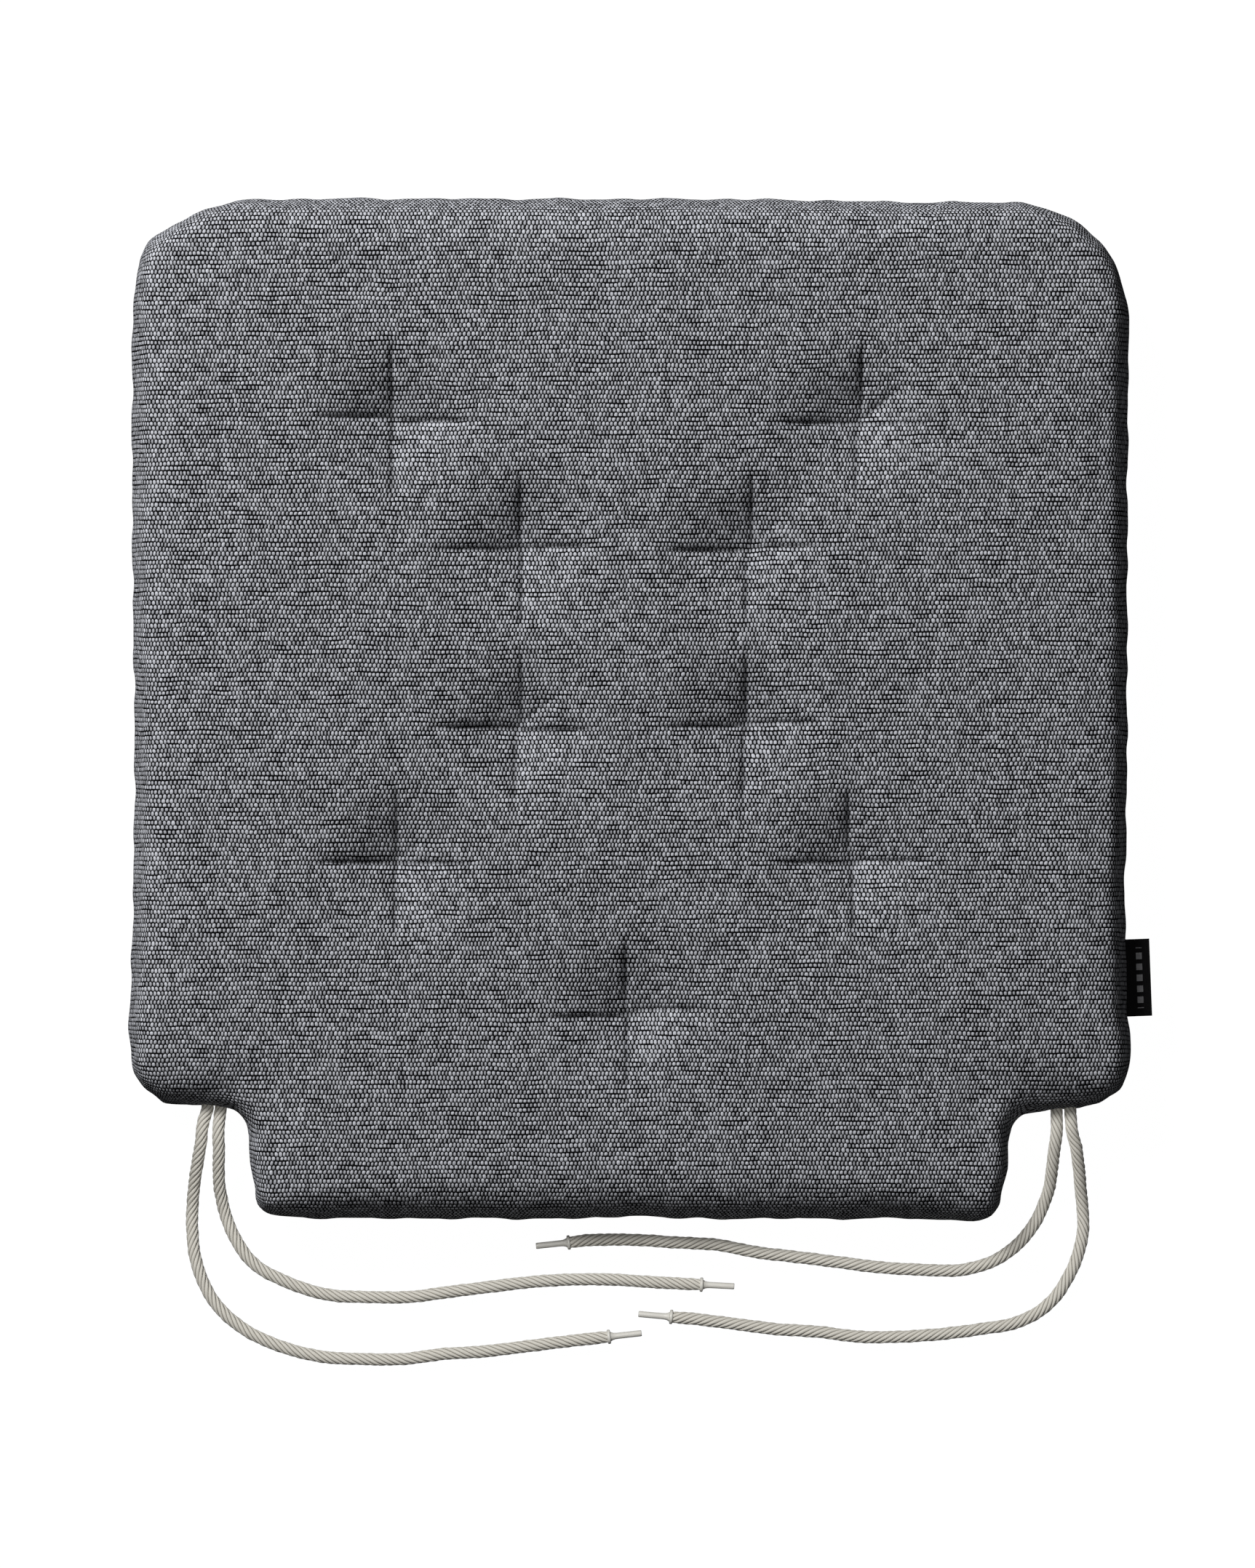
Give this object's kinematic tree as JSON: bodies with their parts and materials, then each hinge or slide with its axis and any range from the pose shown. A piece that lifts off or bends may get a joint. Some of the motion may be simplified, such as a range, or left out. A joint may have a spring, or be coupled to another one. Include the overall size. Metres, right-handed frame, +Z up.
{
  "type": "chair seat pad",
  "caption": "Tufted square seat pad with rounded front corners, a rear tongue between two notches, and pairs of tie cords.",
  "frame": {"origin": "middle of the pad's sewn outline, on the flat underside that rests on the seat", "axes": "+Z up through the pad, +Y towards the front edge, -Y towards the tongue between the chair's back posts, +X to the right when seen from above with the front edge at the top"},
  "size_m": [0.4095, 0.4697, 0.036],
  "materials": {
    "cover_cloth": "coarse woven mottled grey cloth, matte",
    "filling": "soft off-white foam and wadding",
    "dark_thread": "dark sewing thread",
    "cord_cotton": "twisted cream cord with a slight sheen",
    "tip_plastic": "moulded cream plastic, semi-matte",
    "label_ribbon": "fine woven black ribbon"
  },
  "bodies": {
    "root": {"top_panel": "cover_cloth", "bottom_panel": "cover_cloth", "filling_core": "filling", "seam_thread": "dark_thread", "tuft_thread_1": "dark_thread", "tuft_thread_2": "dark_thread", "tuft_thread_3": "dark_thread", "tuft_thread_4": "dark_thread", "tuft_thread_5": "dark_thread", "tuft_thread_6": "dark_thread", "tuft_thread_7": "dark_thread", "tuft_thread_8": "dark_thread", "tuft_thread_9": "dark_thread", "bar_tack_left": "dark_thread", "bar_tack_right": "dark_thread", "cord_left_outer": "cord_cotton", "cord_left_inner": "cord_cotton", "cord_right_inner": "cord_cotton", "cord_right_outer": "cord_cotton", "cord_tip_left_outer": "tip_plastic", "cord_tip_left_inner": "tip_plastic", "cord_tip_right_inner": "tip_plastic", "cord_tip_right_outer": "tip_plastic", "side_label": "label_ribbon"}
  },
  "joints": []
}
